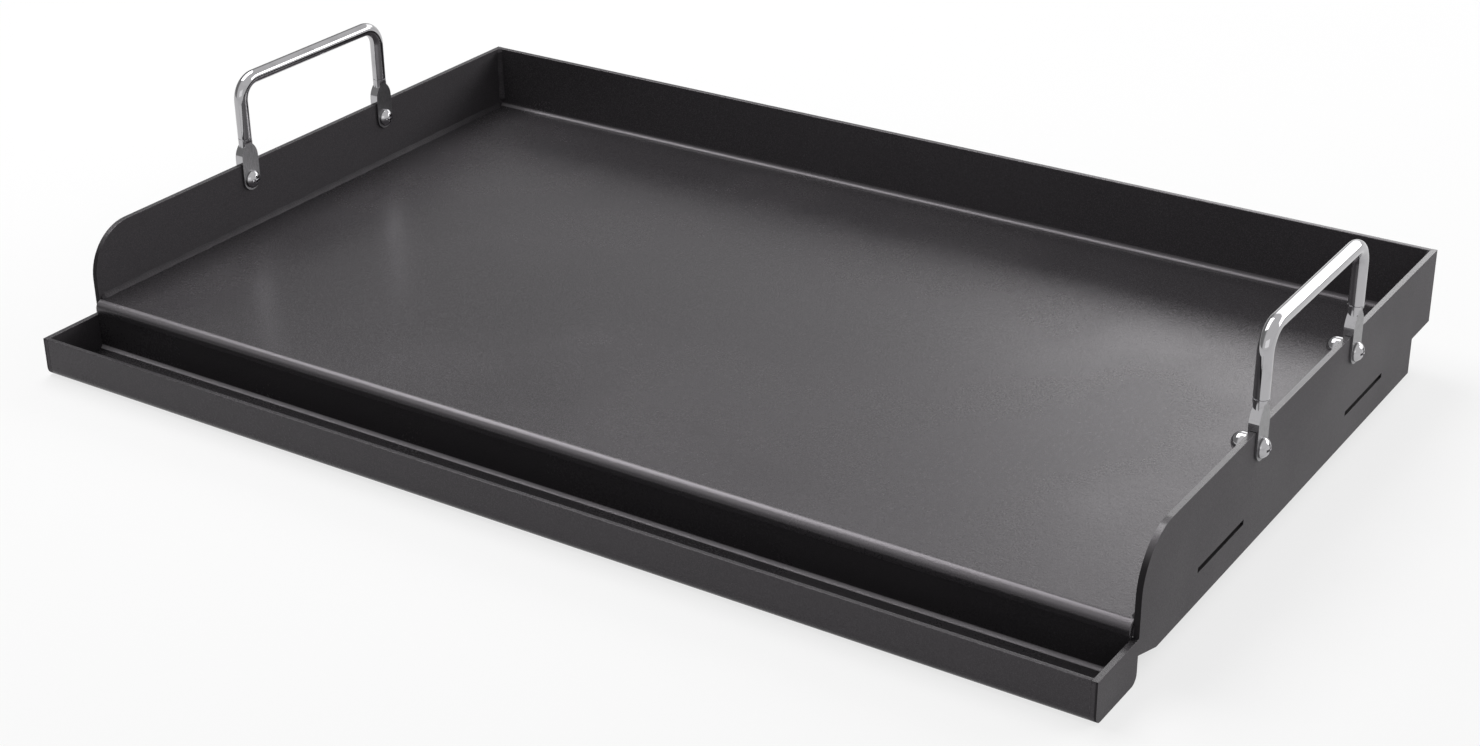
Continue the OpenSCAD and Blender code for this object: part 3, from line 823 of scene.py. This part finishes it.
def nut_form(node, shape):
    """Domed cap nut with an eased base and a blind bore with a lead-in."""
    low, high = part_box(node)
    radius = (high.y - low.y) / 2
    base = high.x - low.x
    dome_h = base - shape.nut_edge
    sphere_r = dome_radius(radius, dome_h)
    half = math.degrees(math.asin(min(1.0, radius / sphere_r)))
    bore = shape.bore_d / 2
    outer = [(shape.nut_edge + dome_h - sphere_r + a, r) for a, r in arc((0, 0), sphere_r, half, 0, 28)]
    outer[-1] = (base, 0)
    profile = [(shape.bore_l + 0.25 * bore, 0), (shape.bore_l, bore - 0.2 * MM), (shape.bore_l - 0.1 * MM, bore)]
    profile += [(0.45 * MM, bore), (0.05 * MM, bore + 0.4 * MM), (0, bore + 0.5 * MM), (0, radius - 0.55 * MM)]
    profile += [(0.08 * MM, radius - 0.22 * MM), (0.3 * MM, radius - 0.04 * MM)]
    profile += [(0.55 * MM, radius), (1.4 * MM, radius)]
    bm = lathe(profile + outer, 64)
    place = Matrix.Translation((high.x, (low.y + high.y) / 2, (low.z + high.z) / 2))
    bm.transform(place @ Matrix.Rotation(math.pi, 4, "Z"))
    return bm


class GRIDDLE_OT_cooking_plate(bpy.types.Operator):
    """Make the coated cooking plate with its rear wall and front lip"""

    bl_idname = "griddle.cooking_plate"
    bl_label = "Cooking Plate"

    def execute(self, context):
        finish, shape = context.scene.griddle_finish, context.scene.griddle_shape
        # Painted highlight along the plate's bends that look up
        bend = {"lowest": 0.35, "amount": 0.36}
        coat = coat_material("plate_powder_coat", finish.plate_gloss, bend=bend, sheen=0.56)
        sheet_piece("cooking_plate", shape.sheet_round, coat)
        return {"FINISHED"}


class GRIDDLE_OT_side_panels(bpy.types.Operator):
    """Make the two coated side panels with their vent slots and skirts"""

    bl_idname = "griddle.side_panels"
    bl_label = "Side Panels"

    def execute(self, context):
        finish, shape = context.scene.griddle_finish, context.scene.griddle_shape
        # The panels get painted shade on their front-facing cut edges and inside their vent slots
        coat = coat_material("panel_powder_coat", finish.panel_gloss, edge=0.6, sheen=0.4, shade_cut_edges=True)
        for side in SIDES:
            sheet_piece(f"{side}_side_panel", shape.sheet_round, coat)
        return {"FINISHED"}


class GRIDDLE_OT_grease_trough(bpy.types.Operator):
    """Make the coated grease trough below the lip"""

    bl_idname = "griddle.grease_trough"
    bl_label = "Grease Trough"

    def execute(self, context):
        finish, shape = context.scene.griddle_finish, context.scene.griddle_shape
        # Painted highlight along the trough's bends that look up, at full strength
        bend = {"lowest": 0.05, "amount": 1.0}
        coat = coat_material("trough_powder_coat", finish.trough_gloss, bend=bend, sheen=0.3)
        sheet_piece("grease_trough", shape.sheet_round, coat)
        return {"FINISHED"}


class GRIDDLE_OT_seams(bpy.types.Operator):
    """Make the rippled seams between the plate and the side panels"""

    bl_idname = "griddle.seams"
    bl_label = "Seams"

    def execute(self, context):
        finish, shape = context.scene.griddle_finish, context.scene.griddle_shape
        coat = coat_material("seam_powder_coat", finish.plate_gloss + SEAM_ROUGHER, edge=0.0, sheen=0.25)
        for side, inward in zip(SIDES, (1, -1)):
            low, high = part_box(f"{side}_plate_weld")
            x = low.x if inward > 0 else high.x
            bead = seam_bead(Vector((x, low.y, low.z)), Vector((x, high.y, low.z)),
                             Vector((inward, 0, 0)), Vector((0, 0, 1)), high.z - low.z, shape)
            finish_piece(f"{side}_plate_seam", bead, coat, f"{side}_plate_weld", BODY)
            low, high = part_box(f"{side}_corner_weld")
            x = low.x if inward > 0 else high.x
            bead = seam_bead(Vector((x, high.y, low.z)), Vector((x, high.y, high.z)),
                             Vector((inward, 0, 0)), Vector((0, -1, 0)), high.y - low.y, shape)
            finish_piece(f"{side}_corner_seam", bead, coat, f"{side}_corner_weld", BODY)
            self.lip_end(side, inward, coat, shape)
        return {"FINISHED"}

    def lip_end(self, side, inward, coat, shape):
        """The short seam that closes the end of the lip against the front edge of a side panel."""
        low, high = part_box("cooking_plate")
        x = (low.x if inward > 0 else high.x) - inward * LIP_PAST
        trough_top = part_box("grease_trough")[1]
        y = trough_top.y + LIP_BEHIND
        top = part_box(f"{side}_plate_weld")[0].z - shape.lip_seam_drop
        bead = seam_bead(Vector((x, y, trough_top.z - LIP_BELOW)), Vector((x, y, top)),
                         Vector((inward, 0, 0)), Vector((0, -1, 0)), shape.lip_seam_leg, shape)
        finish_piece(f"{side}_lip_seam", bead, coat, None, BODY)


class GRIDDLE_OT_braces(bpy.types.Operator):
    """Make the flat-bar braces under the plate"""

    bl_idname = "griddle.braces"
    bl_label = "Braces"

    def execute(self, context):
        finish, shape = context.scene.griddle_finish, context.scene.griddle_shape
        coat = coat_material("brace_powder_coat", finish.brace_gloss, peel=620, edge=0.8, lumps=0.7)
        for name in ("front_long", "rear_long", "left_cross", "middle_cross", "right_cross"):
            sheet_piece(f"{name}_brace", shape.bar_round, coat)
        return {"FINISHED"}


class GRIDDLE_OT_handle_bars(bpy.types.Operator):
    """Make the bright rods of the two handles"""

    bl_idname = "griddle.handle_bars"
    bl_label = "Handle Bars"

    def execute(self, context):
        plating = bright_material("rod_plating")
        for side in SIDES:
            node = f"{side}_handle_bar"
            form = rod_form(node, context.scene.griddle_shape)
            finish_piece(f"{side}_handle_rod", form, plating, node, BODY)
        return {"FINISHED"}


class GRIDDLE_OT_forks(bpy.types.Operator):
    """Make the four ground forks that straddle the rim"""

    bl_idname = "griddle.forks"
    bl_label = "Handle Forks"

    def execute(self, context):
        steel = fork_material("fork_ground_steel")
        for foot in FEET:
            node = f"{foot}_fork"
            form = rounded_copy(node, context.scene.griddle_shape.fork_round)
            finish_piece(f"{foot}_handle_fork", form, steel, node, BODY)
        return {"FINISHED"}


class GRIDDLE_OT_screws(bpy.types.Operator):
    """Make the four screws with domed cross-recess heads and real threads"""

    bl_idname = "griddle.screws"
    bl_label = "Handle Screws"

    def execute(self, context):
        plating = bright_material("screw_plating", hair=2200, smudge=260)
        for foot in FEET:
            node = f"{foot}_screw"
            form = screw_form(node, context.scene.griddle_shape)
            finish_piece(f"{foot}_handle_screw", form, plating, node, f"{node}_body")
        return {"FINISHED"}


class GRIDDLE_OT_cap_nuts(bpy.types.Operator):
    """Make the four domed cap nuts"""

    bl_idname = "griddle.cap_nuts"
    bl_label = "Cap Nuts"

    def execute(self, context):
        plating = bright_material("nut_plating", hair=2200, smudge=260)
        for foot in FEET:
            node = f"{foot}_nut"
            form = nut_form(node, context.scene.griddle_shape)
            finish_piece(f"{foot}_cap_nut", form, plating, node, f"{node}_body")
        return {"FINISHED"}


class GRIDDLE_OT_stage(bpy.types.Operator):
    """Set the floor, the room light, the soft boxes and the camera"""

    bl_idname = "griddle.stage"
    bl_label = "Studio Stage"

    def execute(self, context):
        scene = context.scene
        studio = scene.griddle_studio
        scene.view_settings.view_transform = "Standard"
        self.floor(scene, studio)
        self.room(scene, studio)
        powers = (studio.top_power, studio.back_power, studio.side_power, studio.front_power)
        for power, (name, size, place, target) in zip(powers, SOFT_BOXES):
            self.soft_box(scene, name, power, size, Vector(place), Vector(target))
        self.camera(scene, studio)
        return {"FINISHED"}

    def floor(self, scene, studio):
        """A large plain floor just under the trough."""
        half = studio.floor_size / 2
        mesh = bpy.data.meshes.new("studio_floor")
        edge = ((-half, -half), (half, -half), (half, half), (-half, half))
        mesh.from_pydata([(x, y, -FLOOR_DROP) for x, y in edge], [], [(0, 1, 2, 3)])
        mesh.materials.append(floor_material("floor_paper"))
        floor = bpy.data.objects.new("studio_floor", mesh)
        scene.collection.objects.link(floor)

    def room(self, scene, studio):
        """Even room light; behind the griddle the room shows as near white, and dimmer towards the left."""
        world = bpy.data.worlds.new("studio_room")
        world.use_nodes = True
        scene.world = world
        tree = world.node_tree
        light = tree.nodes["Background"]
        light.inputs["Color"].default_value = (1, 1, 1, 1)
        light.inputs["Strength"].default_value = studio.sky
        parts = split(tree, -900, -300, put(tree, "ShaderNodeTexCoord", -1100, -300).outputs["Generated"])
        grade = spread(tree, -700, -300, parts["X"], *ROOM_TURN)
        shown = put(tree, "ShaderNodeBackground", -200, -200)
        tree.links.new(blend(tree, -450, -300, grade, ROOM_DIM, ROOM_PALE), shown.inputs["Color"])
        shown.inputs["Strength"].default_value = 1.0
        mixed = put(tree, "ShaderNodeMixShader", 200, 0)
        tree.links.new(seen_ray(tree, -900, 0), mixed.inputs["Fac"])
        tree.links.new(light.outputs["Background"], mixed.inputs[1])
        tree.links.new(shown.outputs["Background"], mixed.inputs[2])
        tree.links.new(mixed.outputs["Shader"], tree.nodes["World Output"].inputs["Surface"])

    def soft_box(self, scene, name, power, size, place, target):
        """A rectangular soft box that points at a target."""
        data = bpy.data.lights.new(name, "AREA")
        data.shape = "RECTANGLE"
        data.size, data.size_y = size
        data.energy = power
        lamp = bpy.data.objects.new(name, data)
        lamp.location = place
        lamp.rotation_euler = (target - place).to_track_quat("-Z", "Y").to_euler()
        scene.collection.objects.link(lamp)

    def camera(self, scene, studio):
        """The camera of the photograph."""
        data = bpy.data.cameras.new("photo_camera")
        data.sensor_width = 36
        data.lens = studio.lens
        data.clip_start = 0.05
        camera = bpy.data.objects.new("photo_camera", data)
        camera.location = studio.eye
        camera.rotation_euler = studio.aim
        scene.collection.objects.link(camera)
        scene.camera = camera


class GRIDDLE_PT_sidebar(bpy.types.Panel):
    """Pieces, sizes and finishes of the griddle"""

    bl_idname = "GRIDDLE_PT_sidebar"
    bl_label = "Camp Griddle Plate"
    bl_space_type = "VIEW_3D"
    bl_region_type = "UI"
    bl_category = "Griddle"

    def draw(self, context):
        column = self.layout.column(align=True)
        for operator in OPERATORS:
            column.operator(operator.bl_idname)
        for owner in (context.scene.griddle_shape, context.scene.griddle_finish, context.scene.griddle_studio):
            box = self.layout.box()
            for key in owner.__annotations__:
                box.prop(owner, key)


OPERATORS = (
    GRIDDLE_OT_stage,
    GRIDDLE_OT_cooking_plate,
    GRIDDLE_OT_side_panels,
    GRIDDLE_OT_grease_trough,
    GRIDDLE_OT_seams,
    GRIDDLE_OT_braces,
    GRIDDLE_OT_handle_bars,
    GRIDDLE_OT_forks,
    GRIDDLE_OT_screws,
    GRIDDLE_OT_cap_nuts,
)
GROUPS = {"griddle_shape": GriddleShape, "griddle_finish": GriddleFinish, "griddle_studio": GriddleStudio}


def register():
    """Registers the settings, the operators and the sidebar panel."""
    for group in GROUPS.values():
        bpy.utils.register_class(group)
    for operator in OPERATORS:
        bpy.utils.register_class(operator)
    bpy.utils.register_class(GRIDDLE_PT_sidebar)
    for key, group in GROUPS.items():
        setattr(bpy.types.Scene, key, bpy.props.PointerProperty(type=group))


def unregister():
    """Takes everything that register added away again."""
    for key in GROUPS:
        delattr(bpy.types.Scene, key)
    bpy.utils.unregister_class(GRIDDLE_PT_sidebar)
    for operator in reversed(OPERATORS):
        bpy.utils.unregister_class(operator)
    for group in reversed(tuple(GROUPS.values())):
        bpy.utils.unregister_class(group)


def main():
    """Registers the add-on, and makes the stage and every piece."""
    register()
    bpy.ops.griddle.stage()
    bpy.ops.griddle.cooking_plate()
    bpy.ops.griddle.side_panels()
    bpy.ops.griddle.grease_trough()
    bpy.ops.griddle.seams()
    bpy.ops.griddle.braces()
    bpy.ops.griddle.handle_bars()
    bpy.ops.griddle.forks()
    bpy.ops.griddle.screws()
    bpy.ops.griddle.cap_nuts()
    bpy.context.view_layer.update()


if __name__ == "__main__":
    main()
